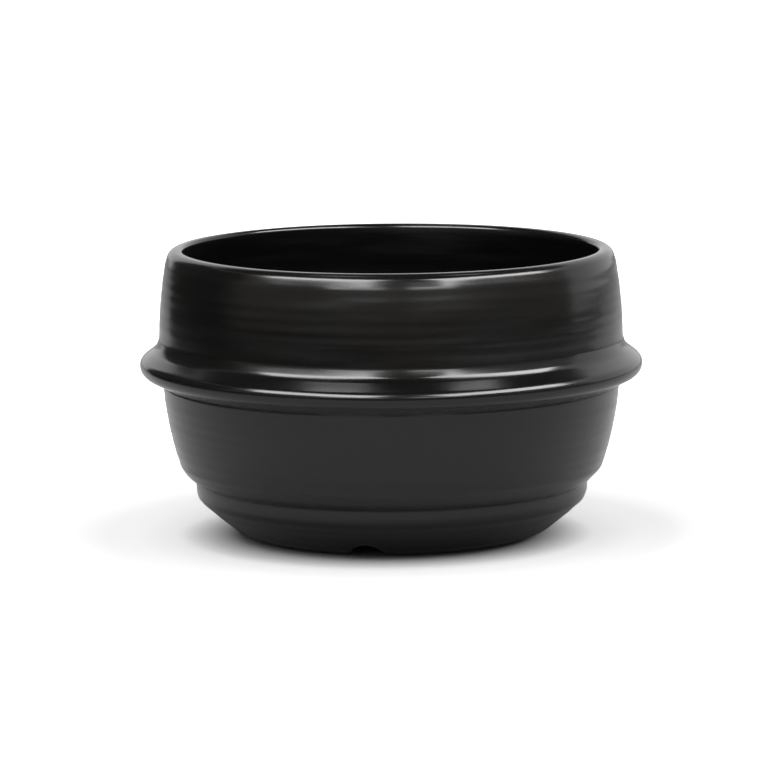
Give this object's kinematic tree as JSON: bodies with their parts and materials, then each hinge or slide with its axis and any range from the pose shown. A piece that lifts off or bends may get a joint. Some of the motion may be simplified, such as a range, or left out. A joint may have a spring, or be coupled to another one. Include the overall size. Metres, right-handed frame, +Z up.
{
  "type": "earthenware stew pot",
  "caption": "Black glazed earthenware stew pot with a deep round cavity, a flange for lifting it, a stepped lower tier and a notched foot ring.",
  "frame": {"origin": "centre of the plane that the foot ring stands on", "axes": "+Z up along the axis the pot was turned on, from the foot to the mouth"},
  "size_m": [0.1598, 0.1598, 0.091],
  "materials": {
    "earthenware": "near-black satin glaze over dark fired clay, bare and matt on the foot"
  },
  "bodies": {
    "root": {"pot_body": "earthenware"}
  },
  "joints": []
}
